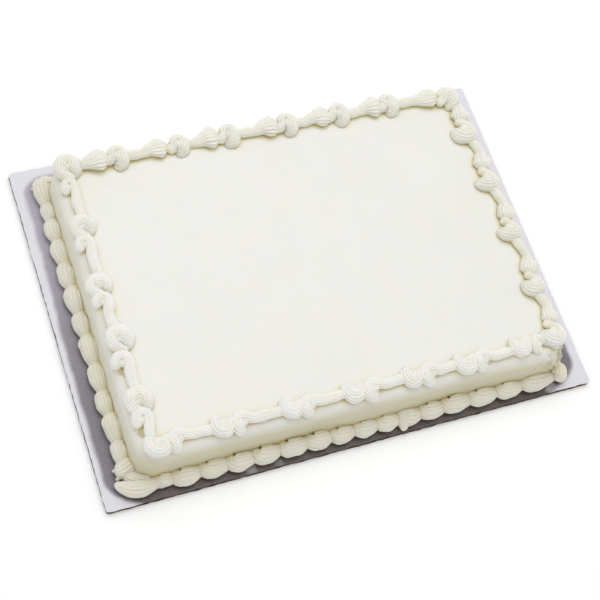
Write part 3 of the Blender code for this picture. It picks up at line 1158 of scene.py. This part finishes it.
@dataclass(frozen=True)
class TopBorder:
    """Pairs of swirls round the top edge: a big one, and a small one that runs into a long tail.

    Attributes:
        block: Cake that carries the border.
        nozzle: Nozzle that pipes it.
        big_loop: Radius that the rope's middle turns on in a big swirl.
        big_rope: Radius of the rope there.
        small_loop: Radius that the rope's middle turns on in a small swirl.
        small_rope: Radius of the rope there.
        tail_rope: Radius of the rope in a tail.
        tail_thin: Share of that radius that a tail loses on its way.
        tail_width: Width of a tail as a share of its height.
        big_course: Stops of a big swirl, as _curl takes them.
        big_end: Where a big swirl runs out: distance and offset from its middle, lift, radius, bank and
            width.
        small_course: Stops of a small swirl that curls. Their first numbers say how far each is on its
            way from the radius that it starts on to the full one.
        small_end: Angle at which it ends.
        fan_course: Stops of a fan, each with its distance from the middle in place of the first number.
        core: Stroke in the middle of a swirl: half its length, and its lift, as shares of its radius, and
            its width.
        big_core: Radius of that stroke in a big swirl, as a share of the rope's, and how much thinner it is
            for a swirl's full squeeze.
        small_core: Angle in degrees of that stroke in a small swirl, and its radius as a share of the rope's.
        twists: Angles in radians by which the ridges turn: in the core and the rope of a big swirl, and of
            a small one.
        fan_slant: How far a fan moves outwards, 3 mm from its middle, for each degree that it leans.
        tail_after: Least distance from a swirl's last stop to its tail.
        tail_least: Least length of a tail.
        tail_bent: Length of a tail, in radii of its rope, from which it may bend.
        tail_swerve: Power of its way by which a tail goes over to the next swirl's offset.
        tail_bank: Bank in degrees where a tail begins.
        big_play: Share by which a big swirl is off in size, and angle by which it is turned, at most.
        small_play: How far a small swirl is shifted and leaned, and how far its tail bends, at most.
        runs: How the swirls lie along each side.
        seed: Number that picks the unevenness of the strokes.
        finish: What it is piped from.
    """

    block: Block
    nozzle: Nozzle = Nozzle(ridges=14, groove=0.15)
    big_loop: float = 4.3
    big_rope: float = 4.3
    small_loop: float = 3.6
    small_rope: float = 3.6
    tail_rope: float = 3.3
    tail_thin: float = 0.15
    tail_width: float = 1.14
    big_course: Rows = (
        (0.96, -1.00, 0.82, -16.0, 1.15), (1.00, -0.42, 0.93, -26.0, 1.20), (1.00, -0.05, 1.00, -32.0, 1.25),
        (1.00, 0.12, 1.00, -34.0, 1.26), (1.00, 0.14, 1.00, -34.0, 1.26), (1.00, 0.12, 1.00, -32.0, 1.26),
        (1.00, 0.08, 0.98, -28.0, 1.22), (1.00, 0.04, 0.90, -16.0, 1.15))
    big_end: tuple[float, ...] = (9.8, -2.2, 0.0, 3.0, -4.0, 1.05)
    small_course: Rows = (
        (0.0, -0.15, 0.84, 22.0, 1.15), (0.5, 0.05, 0.96, 30.0, 1.20), (1.0, 0.18, 1.00, 32.0, 1.24),
        (1.0, 0.22, 1.00, 32.0, 1.24), (1.0, 0.15, 1.00, 28.0, 1.20), (1.0, 0.06, 1.00, 16.0, 1.18))
    small_end: float = 272.0
    fan_course: Rows = (
        (-6.0, -0.55, 0.70, 0.0, 1.20), (-3.4, -0.10, 0.98, 0.0, 1.58), (-0.4, 0.04, 1.10, -3.0, 1.74),
        (2.8, 0.05, 1.10, -3.0, 1.62), (6.4, 0.02, 1.00, 0.0, 1.34))
    core: tuple[float, float, float] = (0.95, 0.3, 1.1)
    big_core: tuple[float, float] = (1.04, 0.22)
    small_core: tuple[float, float] = (60.0, 0.82)
    twists: tuple[float, float, float, float] = (0.0, -0.3, 0.0, 0.3)
    fan_slant: float = 0.04
    tail_after: float = 4.0
    tail_least: float = 2.0
    tail_bent: float = 3.0
    tail_swerve: float = 1.5
    tail_bank: float = 6.0
    big_play: tuple[float, float] = (0.03, 12.0)
    small_play: tuple[float, float, float] = (0.4, 8.0, 0.5)
    runs: dict[Side, Run] = field(default_factory=lambda: {
        Side.LEFT: Run(11.4, -10.0, 290.0, False, 36.0, 0.95, 8.0, 0.0, (214.0, -2.0), (
            Pair(11.3, -0.9, 1.08, 1.0, 14.8, 1.3, 0.78, 1.80, -0.9),
            Pair(57.2, 0.5, 0.98, 1.0, 12.8, 2.4, 0.90, 1.42, 0.3),
            Pair(101.2, 2.0, 0.98, 1.0, 11.6, 2.6, 0.93, 1.22, 0.8),
            Pair(141.2, -0.7, 1.07, 1.08, 16.6, 2.2, 1.02, 1.24, -0.8),
            Pair(185.4, -0.7, 1.05, 1.06, 13.0, 0.4, 0.97, 1.50, -1.6))),
        Side.FRONT: Run(13.2, -100.0, 245.0, False, 84.0, 1.25, 8.0, 0.0, (303.0, 5.5), (
            Pair(15.9, 0.8, 1.06, 1.0, 12.8, 2.0, 1.06, 1.05, 0.0),
            Pair(59.0, -0.6, 0.94, 1.0, 12.8, 1.8, 1.06, 1.08, 0.0),
            Pair(106.2, -0.7, 0.94, 1.0, 12.9, 1.9, 1.08, 1.15, 0.0),
            Pair(150.0, -0.7, 0.96, 1.0, 13.6, 1.9, 1.10, 1.2, 0.0),
            Pair(193.2, -0.7, 0.97, 1.0, 13.0, 1.9, 1.10, 1.2, 0.0),
            Pair(232.6, -0.6, 1.0, 1.0, 13.0, 1.8, 1.08, 1.15, 0.0),
            Pair(275.6, -2.6, 0.97, 1.0, 13.0, 0.2, 0.9, 1.0, 0.0))),
        Side.RIGHT: Run(5.8, -62.0, 225.0, True, 0.0, 1.0, 7.4, -5.0, (219.0, -5.0), (
            Pair(17.4, -4.6, 1.13, 0.94, 13.0, -0.6, 0.95, 0.60, 0.8),
            Pair(56.0, -3.0, 1.05, 0.74, 13.6, 0.0, 1.10, 0.60, 1.6),
            Pair(100.4, -3.4, 1.04, 0.72, 13.2, 0.0, 1.12, 0.60, 1.6),
            Pair(142.3, -4.3, 1.10, 0.78, 14.4, -2.0, 1.10, 0.60, 0.4),
            Pair(184.2, -5.9, 1.16, 0.84, 13.8, -3.4, 1.10, 0.60, -2.2))),
        Side.BACK: Run(10.8, -45.0, 300.0, True, 0.0, 1.0, 11.0, 0.0, (293.0, 0.0), (
            Pair(13.2, -3.6, 1.02, 0.9, 14.6, 0.0, 1.12, 0.90, 0.2),
            Pair(60.2, 0.4, 1.08, 0.60, 12.0, 1.2, 1.18, 0.85, 0.2),
            Pair(99.6, 0.4, 1.08, 0.60, 12.9, 1.2, 1.20, 0.85, 0.2),
            Pair(139.4, 0.5, 1.08, 0.60, 12.9, 1.3, 1.20, 0.85, 0.2),
            Pair(183.0, 0.3, 1.06, 0.60, 14.0, 1.2, 1.20, 0.85, 0.2),
            Pair(220.1, 0.0, 1.02, 0.60, 15.0, 1.0, 1.06, 0.95, 0.2),
            Pair(264.4, 0.0, 1.10, 0.62, 13.0, 0.8, 1.16, 0.95, 0.0))),
    })
    seed: int = 40
    finish: Buttercream = RimCream("piped_icing_top", cream=(0.965, 0.965, 0.93), warm=(0.96, 0.955, 0.90),
                                   crease=(0.86, 0.80, 0.59), groove_share=0.12)

    def _stops(self, side: Side, rows: np.ndarray) -> np.ndarray:
        """Puts a stroke on the cake.

        Args:
            side: Side that the stroke lies on.
            rows: Distance along, offset from the tails, lift, radius, bank and width of each stop.

        Returns:
            Rows of x, y, z, radius, bank and width.
        """
        distance, offset, lift, radius, bank, width = rows.T
        spots = self.block.place(side, distance, offset - self.runs[side].inset)
        height = self.block.resting(spots, radius) + lift
        return np.column_stack((spots, height, radius, np.radians(bank), width))

    def _curl(self, middle: float, offset: float, angles: np.ndarray, loop: float, rope: float,
              course: Sequence[Sequence[float]]) -> np.ndarray:
        """Stops of a rope that turns round a middle.

        Args:
            middle: Distance of the middle along the side.
            offset: Offset of the middle from the tails.
            angles: Angle of each stop, from the piping direction to outwards.
            loop: Radius that the rope turns on.
            rope: Full radius of the rope.
            course: For each stop its share of the turning radius, its lift and its thickness as shares of
                the rope's radius, its bank and its width.

        Returns:
            Rows of distance, offset, lift, radius, bank and width.
        """
        turned = np.radians(angles)
        shares, lift, thickness, bank, width = np.array(course).T
        reach = loop * shares
        return np.column_stack((middle + reach * np.cos(turned), offset + reach * np.sin(turned),
                                rope * lift, rope * thickness, bank, width))

    def _core(self, middle: float, offset: float, angle: float, rope: float) -> np.ndarray:
        """Stops of a short stroke that fills the middle of a swirl and points at an angle."""
        length, lift, width = self.core
        step = length * rope * np.array((math.cos(math.radians(angle)), math.sin(math.radians(angle))))
        return np.array([(middle + turn * step[0], offset + turn * step[1], lift * rope, rope, 0.0, width)
                         for turn in (-1.0, 0.0, 1.0)])

    def big_swirl(self, run: Run, pair: Pair, dice: np.random.Generator) -> tuple[np.ndarray, ...]:
        """Stops of a swirl that rises out of the icing, curls back and round its outer side and goes inwards.

        Args:
            run: How the swirls of this side lie.
            pair: The pair that it belongs to.
            dice: Source of its own unevenness.

        Returns:
            Stops of its core and of its rope.
        """
        size_play, turn_play = self.big_play
        scale = pair.size * dice.uniform(1.0 - size_play, 1.0 + size_play)
        start = run.start + dice.uniform(-turn_play, turn_play)
        rope, loop = self.big_rope * scale, self.big_loop * scale
        angles = start - np.linspace(0.0, run.turn, len(self.big_course))
        rows = self._curl(pair.at, pair.offset, angles, loop, rope, self.big_course)
        rows[:, 0] = pair.at + (rows[:, 0] - pair.at) * pair.squeeze
        ahead, outwards, *rest = self.big_end
        last = (pair.at + ahead * scale, pair.offset + outwards, *rest)
        full, thinner = self.big_core
        core = self._core(pair.at, pair.offset, start, (full - thinner * pair.squeeze) * rope)
        return core, np.vstack((rows, last))

    def small_swirl(self, run: Run, pair: Pair, tail_end: tuple[float, float],
                    dice: np.random.Generator) -> tuple[np.ndarray, ...]:
        """Stops of a swirl that starts on the outer side, or of a fan, with the tail that it runs into.

        Args:
            run: How the swirls of this side lie.
            pair: The pair that it belongs to.
            tail_end: Distance and offset at which its tail ends.
            dice: Source of its own unevenness.

        Returns:
            Stops of its core and of its rope.
        """
        place_play, lean_play, bend_play = self.small_play
        start = pair.at + pair.lead + dice.uniform(-place_play, place_play)
        loop, rope = self.small_loop * pair.small_size, self.small_rope * pair.small_size
        lean = dice.uniform(-lean_play, lean_play)
        if run.fan:
            reach, lift, thickness, bank, width = np.array(self.fan_course).T
            slant = self.fan_slant * lean * reach / 3.0
            rows = np.column_stack((start + reach * pair.stretch, pair.small_offset + slant, rope * lift,
                                    rope * thickness, bank, width))
        else:
            course = np.array(self.small_course)
            course[:, 0] = run.small_reach + (1.0 - run.small_reach) * course[:, 0]
            angles = lean + np.linspace(run.small_start, self.small_end, len(course))
            rows = self._curl(start, pair.small_offset, angles, loop, rope, course)
            rows[:, 0] = start + (rows[:, 0] - start) * pair.stretch
        end, end_offset = tail_end
        tail_start = min(max(start + run.merge, rows[-1, 0] + self.tail_after), end - self.tail_least)
        drift = dice.uniform(-bend_play, bend_play)
        long = end - tail_start > self.tail_bent * self.tail_rope
        shares = np.array((0.0, 0.5, 1.0) if long else (0.0, 1.0))
        swerve = (end_offset - pair.tail) * shares ** self.tail_swerve
        bend = drift * np.sin(math.pi * shares) + pair.tail + swerve
        tail = np.column_stack((tail_start + shares * (end - tail_start), bend, 0.0 * shares,
                                self.tail_rope * (1.0 - self.tail_thin * shares ** 2),
                                self.tail_bank * (1.0 - shares), self.tail_width + 0.0 * shares))
        angle, full = self.small_core
        return self._core(start, pair.small_offset, angle, full * rope), np.vstack((rows, tail))

    def build(self, side: Side) -> bpy.types.Object:
        """Pipes one side.

        Args:
            side: Side of the cake.

        Returns:
            The piece, melted into one surface.
        """
        run = self.runs[side]
        ends = [(after.at - 3.0, pair.tail + run.slope) for pair, after in zip(run.pairs, run.pairs[1:])]
        strokes = []
        for number, (pair, tail_end) in enumerate(zip(run.pairs, ends + [run.close])):
            dice = stroke_dice(self.seed, side, number)
            swirls = (self.big_swirl(run, pair, dice), self.small_swirl(run, pair, tail_end, dice))
            for stops, twist in zip((stops for swirl in swirls for stops in swirl), self.twists):
                strokes.append(self.nozzle.pipe(self._stops(side, stops), dice, twist))
        return join_strokes(strokes, "top_swirls_" + side.word)

    def dress(self, piece: bpy.types.Object, side: Side, cream: bpy.types.Material) -> None:
        """Gives a side its cream and hands it to the frame."""
        piece.data.materials.clear()
        piece.data.materials.append(cream)
        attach(piece, "root")
        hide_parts("top_border_" + side.word)


@dataclass(frozen=True)
class Row:
    """How the shells lie along one side. Distances run from the corner of the cake's foot.

    Attributes:
        reach: How far out a head swells.
        waist: How far out a tail reaches where the next head begins.
        joints: Where one shell ends and the next begins, or only the first and the last of them.
        extras: Further strokes, each with distance, offset, height of its middle above the board and
            radius of its stops.
    """

    reach: float
    waist: float
    joints: tuple[float, ...]
    extras: tuple[Rows, ...] = ()


@dataclass(frozen=True)
class BaseBorder:
    """Shells round the foot of the cake, each with a round head and a tail under the next head.

    Attributes:
        block: Cake that the border leans on.
        nozzle: Nozzle that pipes it.
        head_rope: Radius of the rope at the head of a shell.
        tail_rope: Radius of the rope where a tail goes under the next head.
        course: Stops from a shell's start in the wall to its tail, each with its share of the length, its
            share of the distance to the wall, its thickness from tail to head, and its bank.
        tail_width: Width of a tail as a share of its height.
        head_width: The same for a head.
        pitch: Usual length of a shell.
        full_length: Length from which a shell stands out in full.
        growth: Power of a shell's length that the size of its head follows.
        sizes: Least and greatest size of a head that this gives.
        unlike: Share by which a head is off in size at most.
        play: How far its place is off at most.
        twist: Angle in radians by which the ridges of a shell turn at most.
        sunk: Height of a rope's middle as a share of half its own height.
        lift: How much higher than that it lies.
        clear: Space between the lowest points and the board.
        spread: How uneven the shells that the front view doesn't show are.
        rows: How the shells lie along each side.
        seed: Number that picks the unevenness of the strokes.
        finish: What it is piped from, a cream darker and yellower than the top border's, as painted shade at
            the foot of the cake.
    """

    block: Block
    nozzle: Nozzle = Nozzle(ridges=13, groove=0.12, spacing=0.9, dome=0.9)
    head_rope: float = 5.5
    tail_rope: float = 3.2
    course: Rows = (
        (0.34, -0.25, 0.35, 0.0), (0.22, 0.38, 0.62, -8.0), (0.25, 0.86, 0.90, -18.0),
        (0.42, 1.0, 1.0, -28.0), (0.60, 1.0, 0.93, -28.0), (0.80, 1.0, 0.62, -24.0),
        (1.00, 1.0, 0.24, -18.0), (1.24, 1.0, 0.0, -12.0))
    tail_width: float = 1.12
    head_width: float = 1.22
    pitch: float = 18.2
    full_length: float = 16.0
    growth: float = 0.35
    sizes: tuple[float, float] = (0.88, 1.08)
    unlike: float = 0.05
    play: float = 0.3
    twist: float = 0.3
    sunk: float = 0.94
    lift: float = 0.2
    clear: float = 0.05
    spread: float = 0.12
    rows: dict[Side, Row] = field(default_factory=lambda: {
        Side.LEFT: Row(9.8, 6.4, (
            -1.0, 19.0, 32.1, 48.1, 66.1, 84.2, 104.3, 120.8, 141.8, 161.7, 178.2, 197.9, 212.4), (
            ((214.5, -3.5, 5.4, 5.0), (216.0, 0.5, 6.0, 6.2), (217.5, 5.0, 5.4, 6.0),
             (218.6, 10.6, 4.4, 5.0)),
            ((214.6, 6.0, 4.4, 1.9), (215.8, 9.0, 4.2, 1.5), (216.4, 12.0, 4.0, 0.7)),
            ((220.4, 6.0, 4.4, 1.9), (221.6, 8.5, 3.6, 1.5), (222.4, 11.0, 3.2, 0.7)),
            ((4.5, 5.5, 4.6, 4.4), (2.6, 0.5, 5.0, 4.8), (3.2, -4.5, 5.0, 4.6), (4.4, -9.0, 4.6, 4.0)),
            ((3.6, 4.0, 4.6, 2.2), (4.0, 7.0, 3.6, 1.7), (4.2, 10.2, 2.6, 0.7)))),
        Side.FRONT: Row(10.3, 5.8, (
            13.6, 24.2, 42.3, 61.7, 79.5, 97.8, 117.4, 134.8, 151.7, 168.3, 184.5, 201.2, 217.8, 238.2, 259.4,
            278.6, 303.8), (
            ((-12.6, -3.4, 4.6, 1.5), (-9.6, -0.6, 4.8, 3.6), (-7.0, 1.2, 5.2, 4.6), (-3.2, 3.3, 5.6, 5.6),
             (1.5, 4.3, 5.8, 6.0), (7.0, 3.9, 5.4, 5.4), (12.0, 2.9, 4.4, 4.2), (17.5, 2.4, 3.4, 3.0)),
            ((-5.5, -10.0, 5.0, 4.2), (-0.6, -4.6, 5.4, 4.8), (4.6, -1.6, 5.4, 4.8), (11.0, 0.0, 4.8, 4.2)),
            ((189.0, -2.5, 7.0, 4.2), (188.2, 3.5, 6.0, 4.6), (187.0, 8.5, 3.6, 3.6),
             (186.2, 12.4, 2.2, 1.8)))),
        Side.RIGHT: Row(7.0, 5.0, (6.5, 18.2, 221.0), (
            ((-6.3, -6.0, 5.0, 3.6), (-4.2, -3.0, 5.6, 6.0), (-0.6, -1.7, 5.8, 6.4), (3.8, -1.8, 5.0, 5.2),
             (9.0, -0.6, 4.6, 4.2), (13.5, 0.0, 4.0, 3.4)),)),
        Side.BACK: Row(9.4, 5.8, (-8.0, 296.0)),
    })
    seed: int = 60
    # The cream is darker and yellower than the top border's: painted shade at the foot of the cake.
    finish: Buttercream = Buttercream("piped_icing_base", cream=(0.835, 0.815, 0.715),
                                      warm=(0.82, 0.79, 0.655), crease=(0.83, 0.765, 0.56),
                                      groove_share=0.08)

    def shell_joints(self, side: Side) -> tuple[float, ...]:
        """Distances along a side where one shell ends and the next begins."""
        known = self.rows[side].joints
        if side in (Side.LEFT, Side.FRONT):
            return known
        dice = np.random.default_rng(self.seed + len(side.word))
        first, last = known[-2:]
        count = round((last - first) / self.pitch)
        inner = np.linspace(first, last, count + 1)[1:-1]
        inner = inner + self.pitch * dice.uniform(-self.spread, self.spread, count - 1)
        return (*known[:-1], *inner.tolist(), last)

    def shell(self, side: Side, start: float, end: float, dice: np.random.Generator) -> Solid:
        """Pipes one shell.

        Args:
            side: Side that it lies on.
            start: Where its head begins.
            end: Where the next head begins.
            dice: Source of its own unevenness.

        Returns:
            The shell as a closed surface.
        """
        length, row = end - start, self.rows[side]
        own = dice.uniform(1.0 - self.unlike, 1.0 + self.unlike)
        least, most = self.sizes
        fat = self.head_rope * own * min(most, max(least, (length / self.pitch) ** self.growth))
        share, pull, swell, bank = np.array(self.course).T
        radius = self.tail_rope + swell * (fat - self.tail_rope)
        width, bank = self.tail_width + (self.head_width - self.tail_width) * swell, np.radians(bank)
        half_wide = radius * np.hypot(width * np.cos(bank), np.sin(bank))
        half_high = radius * np.hypot(width * np.sin(bank), np.cos(bank))
        stand = (row.reach - row.waist) * min(1.0, (length / self.full_length) ** 2)
        edge = row.waist + swell * stand + dice.uniform(-self.play, self.play)
        spots = self.block.place(side, start + share * length, pull * (edge - half_wide))
        height = self.block.base + self.sunk * half_high + self.lift
        stops = np.column_stack((spots, height, radius, bank, width))
        return self._rest(self.nozzle.pipe(stops, dice, twist=dice.uniform(-self.twist, self.twist)))

    def _extra(self, side: Side, rows: Sequence[Sequence[float]], dice: np.random.Generator) -> Solid:
        """Pipes a stroke that is no shell."""
        distance, offset, lift, radius = np.array(rows).T
        spots = self.block.place(side, distance, offset)
        stops = np.column_stack((spots, self.block.base + lift, radius, 0.0 * lift, 1.0 + 0.0 * lift))
        return self._rest(self.nozzle.pipe(stops, dice))

    def _rest(self, shape: Solid) -> Solid:
        """Keeps a stroke above the board."""
        shape.points[:, 2] = np.maximum(shape.points[:, 2], self.block.base + self.clear)
        return shape

    def build(self, side: Side) -> bpy.types.Object:
        """Pipes one side.

        Args:
            side: Side of the cake.

        Returns:
            The piece, melted into one surface.
        """
        joints = self.shell_joints(side)
        strokes = []
        for number, (start, end) in enumerate(zip(joints[:-1], joints[1:])):
            strokes.append(self.shell(side, start, end, stroke_dice(self.seed, side, number)))
        for number, rows in enumerate(self.rows[side].extras, FIRST_EXTRA):
            strokes.append(self._extra(side, rows, stroke_dice(self.seed, side, number)))
        return join_strokes(strokes, "base_shells_" + side.word)

    def dress(self, piece: bpy.types.Object, side: Side, cream: bpy.types.Material) -> None:
        """Gives a side its cream and hands it to the frame."""
        piece.data.materials.clear()
        piece.data.materials.append(cream)
        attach(piece, "root")
        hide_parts("base_border_" + side.word)


@dataclass(frozen=True)
class Board:
    """Corrugated board: two flat sheets with a wavy one between them.

    Attributes:
        length: Length of the board.
        depth: Depth of the board.
        thickness: Thickness of the board.
        corner: Radius of its corners.
        sheet: Thickness of the flat sheets.
        wavy_sheet: Thickness of the wavy sheet.
        wave: Distance from one crest of the wavy sheet to the next.
        wave_steps: Corners in the mesh along one wave.
        ragged: Unevenness of the cut edge.
        trim: How far the cut edge stays inside the outline on average.
        edge_step: Distance between the mesh's corners along the cut edge.
        corner_steps: Steps of the mesh round a corner.
        wavy_inset: How far the wavy sheet stays behind the flat ones at the ends, and at front and back.
        paper: Finish of the upper face.
        kraft: Finish of everything else.
    """

    length: float = 356.0
    depth: float = 254.0
    thickness: float = 4.0
    corner: float = 2.0
    sheet: float = 0.5
    wavy_sheet: float = 0.35
    wave: float = 7.9
    wave_steps: int = 12
    ragged: Ripple = Ripple(6.0, 0.16, 31)
    trim: float = 0.25
    edge_step: float = 1.5
    corner_steps: int = 6
    wavy_inset: tuple[float, float] = (0.7, 0.9)
    paper: BoardPaper = BoardPaper()
    kraft: Kraft = Kraft()

    def _flat_sheet(self, low: float, high: float) -> Solid:
        """Thin sheet between two heights, with its cut edge a little ragged."""
        half_x, half_y = self.length / 2.0, self.depth / 2.0
        steps = [np.linspace(-1.0, 1.0, round(2.0 * (half - self.corner) / self.edge_step))
                 for half in (half_x, half_y)]
        turns = np.linspace(0.0, math.pi / 2.0, self.corner_steps + 1)[1:-1]
        ring = rounded_ring(half_x, half_y, self.corner, steps, turns)
        pull = 1.0 + (self.ragged.at(at_height(ring, low)) - self.trim) / np.linalg.norm(ring, axis=1)
        ring = ring * pull[:, None]
        return stacked(np.stack((at_height(ring, low), at_height(ring, high))))

    def _wavy_sheet(self) -> Solid:
        """Wavy sheet, with its waves seen from the two short ends."""
        half_x, half_y = np.array((self.length, self.depth)) / 2.0 - self.wavy_inset
        y = np.linspace(-half_y, half_y, round(2.0 * half_y / self.wave * self.wave_steps))
        rise = (self.thickness - 2.0 * self.sheet - self.wavy_sheet) / 2.0
        z = self.thickness / 2.0 + rise * np.sin(y * math.tau / self.wave)
        outline = np.concatenate((np.column_stack((y, z - self.wavy_sheet / 2.0)),
                                  np.column_stack((y, z + self.wavy_sheet / 2.0))[::-1]))
        size, steps = len(outline), len(y)
        ends = [np.column_stack((np.full(size, x), outline)) for x in (-half_x, half_x)]
        faces = [tuple(reversed(face)) for face in ring_faces(2, size)]
        for spot in range(steps - 1):
            across = 2 * steps - 1 - spot
            faces.append((spot, across, across - 1, spot + 1))
            faces.append((size + spot, size + spot + 1, size + across - 1, size + across))
        return Solid(np.concatenate(ends), faces, np.zeros(2 * size))

    def build(self) -> bpy.types.Object:
        """Makes the three sheets as one piece."""
        parts = (self._flat_sheet(0.0, self.sheet), self._wavy_sheet(),
                 self._flat_sheet(self.thickness - self.sheet, self.thickness))
        faces, shift = [], 0
        for part in parts:
            faces += [tuple(corner + shift for corner in face) for face in part.faces]
            shift += len(part.points)
        points = np.concatenate([part.points for part in parts])
        board = Solid(points, faces, np.zeros(shift)).to_object("corrugated_board")
        board.data.shade_flat()
        return board

    def dress(self, board: bpy.types.Object) -> None:
        """Papers the upper face and hands the board to the frame."""
        board.data.materials.append(self.kraft.mix())
        board.data.materials.append(self.paper.mix())
        top = (self.thickness - 0.01) * MM
        for face in board.data.polygons:
            face.material_index = int(face.center.z > top)
        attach(board, "root")
        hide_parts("board")


@dataclass(frozen=True)
class Studio:
    """Pale floor, soft light from above and behind, and the camera.

    Attributes:
        floor_size: Width of the floor in metres.
        floor: Colour of the floor.
        floor_roughness: Its roughness.
        floor_glow: Light that it gives off, which keeps it white.
        sky: Strength of the even light from all round.
        key_watts: Power of the big soft light.
        key_place: Where it hangs, in metres.
        key_size: Its width in metres.
        focal: Focal length on a 36 mm sensor.
        eye: Place of the camera in metres.
        heading: Angle from the back to the right that the camera looks along, in radians.
        dip: Angle that it looks down, in radians.
        roll: Angle that it is turned about its own axis, in radians.
    """

    floor_size: float = 4.0
    floor: Colour = (0.96, 0.96, 0.96)
    floor_roughness: float = 0.9
    floor_glow: float = 0.16
    sky: float = 0.56
    key_watts: float = 10.8
    key_place: Colour = (0.10, 0.36, 1.5)
    key_size: float = 1.3
    focal: float = 83.09
    eye: Colour = (-0.30428, -0.35342, 0.86374)
    heading: float = 0.7210923641748173
    dip: float = 1.0881417426162339
    roll: float = 0.43241358369852784

    def build_floor(self) -> None:
        """Lays the floor."""
        half = self.floor_size / 2.0
        mesh = bpy.data.meshes.new("studio_floor")
        mesh.from_pydata([(-half, -half, 0.0), (half, -half, 0.0), (half, half, 0.0), (-half, half, 0.0)],
                         [], [(0, 1, 2, 3)])
        white = Recipe("studio_white")
        mesh.materials.append(white.shade(Base_Color=self.floor, Roughness=self.floor_roughness,
                                          Emission_Strength=self.floor_glow, Emission_Color=(1.0, 1.0, 1.0),
                                          Specular_IOR_Level=0.0))
        add_object("studio_floor", mesh)

    def build_light(self) -> None:
        """Hangs the soft light and sets the light from all round."""
        lamp = bpy.data.lights.new("soft_box", "AREA")
        lamp.shape = "SQUARE"
        lamp.size = self.key_size
        lamp.energy = self.key_watts
        holder = add_object("soft_box", lamp)
        holder.location = self.key_place
        holder.rotation_euler = (-Vector(self.key_place)).to_track_quat("-Z", "Y").to_euler()
        world = bpy.data.worlds.new("studio_air")
        world.use_nodes = True
        air = world.node_tree.nodes["Background"]
        air.inputs["Color"].default_value = (1.0, 1.0, 1.0, 1.0)
        air.inputs["Strength"].default_value = self.sky
        bpy.context.scene.world = world
        bpy.context.scene.view_settings.view_transform = "Standard"

    def build_camera(self) -> None:
        """Sets up the camera."""
        flat = math.cos(self.dip)
        ahead = Vector((math.sin(self.heading) * flat, math.cos(self.heading) * flat, -math.sin(self.dip)))
        level = Vector((math.cos(self.heading), -math.sin(self.heading), 0.0))
        above = level.cross(ahead)
        right = math.cos(self.roll) * level + math.sin(self.roll) * above
        upward = math.cos(self.roll) * above - math.sin(self.roll) * level
        lens = bpy.data.cameras.new("camera")
        lens.lens = self.focal
        camera = add_object("camera", lens)
        turned = Matrix((right, upward, -ahead)).transposed().to_4x4()
        camera.matrix_world = Matrix.Translation(self.eye) @ turned
        bpy.context.scene.camera = camera


def report(piece: bpy.types.Object) -> None:
    """Logs a piece's name and size."""
    triangles = sum(len(face.vertices) - 2 for face in piece.data.polygons)
    LOG.info("%s: %d triangles", piece.name, triangles)


def main() -> None:
    """Builds the cake piece by piece, then the studio."""
    logging.basicConfig(level=logging.INFO, format="%(message)s")
    block = Block()
    iced = block.build()
    block.dress(iced)
    report(iced)

    board = Board()
    card = board.build()
    board.dress(card)
    report(card)

    for border in (TopBorder(block), BaseBorder(block)):
        cream = border.finish.mix()
        for side in Side:
            piece = border.build(side)
            border.dress(piece, side, cream)
            report(piece)

    studio = Studio()
    studio.build_floor()
    studio.build_light()
    studio.build_camera()


if __name__ == "__main__":
    main()
